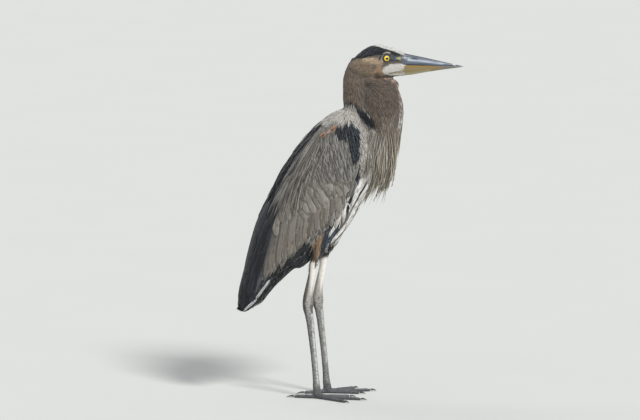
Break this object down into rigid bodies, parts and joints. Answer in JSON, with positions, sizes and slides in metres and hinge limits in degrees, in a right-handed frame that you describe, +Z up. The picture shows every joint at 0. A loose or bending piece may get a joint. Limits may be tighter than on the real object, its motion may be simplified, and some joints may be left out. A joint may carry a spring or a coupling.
{
  "type": "great blue heron figure",
  "caption": "Life-size great blue heron standing at rest: neck folded in an S, dagger bill level, wings closed, long bare legs on spread toes.",
  "frame": {"origin": "middle of the bird's bounding box on the ground, at the level of its soles", "axes": "+X the way the bird faces, +Y its left side, +Z up"},
  "size_m": [0.4989, 0.219, 0.7801],
  "materials": {
    "feathers": "blue-grey and taupe feathers, matt",
    "neck": "fine grey-brown, white and black feathers, matt",
    "quills": "slate-black flight feathers, soft sheen",
    "horn": "slate-grey bill horn, satin",
    "pale_horn": "dull yellow bill horn, satin",
    "iris": "yellow eye, wet gloss",
    "leg_skin": "scaled skin, grey-buff, matt",
    "claw": "dark horn claws, satin"
  },
  "bodies": {
    "root": {"bill_lower": "pale_horn", "bill_upper": "horn", "claw_hind_left": "claw", "claw_hind_right": "claw", "claw_inner_left": "claw", "claw_inner_right": "claw", "claw_middle_left": "claw", "claw_middle_right": "claw", "claw_outer_left": "claw", "claw_outer_right": "claw", "eye_left": "iris", "eye_right": "iris", "flight_feathers_left": "quills", "flight_feathers_right": "quills", "foot_left": "leg_skin", "foot_right": "leg_skin", "head": "neck", "neck_breast": "neck", "neck_nape": "neck", "neck_throat": "neck", "shank_left": "leg_skin", "shank_right": "leg_skin", "tail": "quills", "tarsus_left": "leg_skin", "tarsus_right": "leg_skin", "thigh_left": "feathers", "thigh_right": "feathers", "trunk": "feathers", "wing_left": "feathers", "wing_right": "feathers"}
  },
  "joints": []
}
